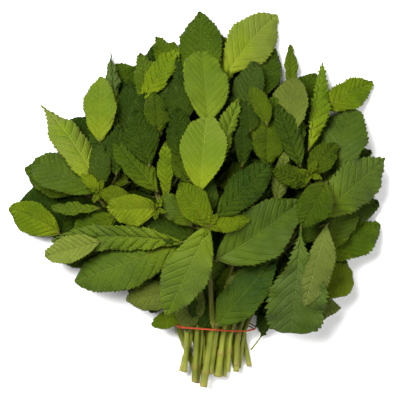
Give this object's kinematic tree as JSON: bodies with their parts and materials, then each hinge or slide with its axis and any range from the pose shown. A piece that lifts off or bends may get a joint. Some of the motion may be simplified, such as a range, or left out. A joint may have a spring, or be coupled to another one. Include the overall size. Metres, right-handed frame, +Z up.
{
  "type": "tied mint bunch",
  "caption": "Bunch of fresh cut mint lying on its side, leafy square stems gathered near their cut ends by a thin rubber band wound round them.",
  "frame": {"origin": "middle of the bunch seen from above, on the surface that it lies on", "axes": "+Y from the cut stem ends to the leaf tips, +Z up, away from the surface"},
  "size_m": [0.2288, 0.2284, 0.0562],
  "materials": {
    "rubber_band": "thin red-orange elastic, slightly satin",
    "stem": "pale yellow-green square stem, smooth and slightly waxy",
    "leaf_young": "bright yellow-green quilted blade, satin",
    "leaf_mature": "mid green toothed blade, satin",
    "leaf_dark": "dark bluish green toothed blade, satin",
    "leaf_pale": "pale grey-green underside, matte, with raised veins"
  },
  "bodies": {
    "root": {"rubber_band": "rubber_band", "stem_left_low": "stem", "stem_centre_low": "stem", "stem_middle_low": "stem", "stem_right_low": "stem", "stem_far_right_low": "stem", "stem_outer_right": "stem", "stem_left": "stem", "stem_left_middle": "stem", "stem_wide": "stem", "stem_right": "stem", "stem_front": "stem", "stem_thin": "stem", "leaf_front_1": "leaf_young", "leaf_front_2": "leaf_dark", "leaf_front_3": "leaf_mature", "leaf_front_4": "leaf_dark", "leaf_front_5": "leaf_dark", "leaf_front_6": "leaf_young", "leaf_front_7": "leaf_mature", "leaf_centre_1": "leaf_young", "leaf_centre_2": "leaf_mature", "leaf_centre_3": "leaf_young", "leaf_centre_4": "leaf_dark", "leaf_centre_5": "leaf_dark", "leaf_left_1": "leaf_young", "leaf_left_2": "leaf_dark", "leaf_left_3": "leaf_dark", "leaf_left_4": "leaf_mature", "leaf_left_5": "leaf_mature", "leaf_left_6": "leaf_young", "leaf_lower_left_1": "leaf_mature", "leaf_lower_left_2": "leaf_mature", "leaf_lower_left_3": "leaf_pale", "leaf_upper_left_1": "leaf_young", "leaf_upper_left_2": "leaf_dark", "leaf_top_left_1": "leaf_young", "leaf_top_left_2": "leaf_mature", "leaf_top_1": "leaf_mature", "leaf_top_2": "leaf_mature", "leaf_top_3": "leaf_young", "leaf_top_4": "leaf_dark", "leaf_top_5": "leaf_dark", "leaf_upper_right_1": "leaf_young", "leaf_upper_right_2": "leaf_pale", "leaf_upper_right_3": "leaf_dark", "leaf_upper_right_4": "leaf_young", "leaf_right_1": "leaf_mature", "leaf_right_2": "leaf_mature", "leaf_right_3": "leaf_mature", "leaf_right_4": "leaf_dark", "leaf_right_5": "leaf_mature", "leaf_centre_right_1": "leaf_mature", "leaf_centre_right_2": "leaf_pale", "leaf_lower_right_1": "leaf_dark", "leaf_lower_right_2": "leaf_pale", "leaf_lower_right_3": "leaf_mature", "leaf_lower_right_4": "leaf_young", "leaf_lower_right_5": "leaf_pale"}
  },
  "joints": []
}
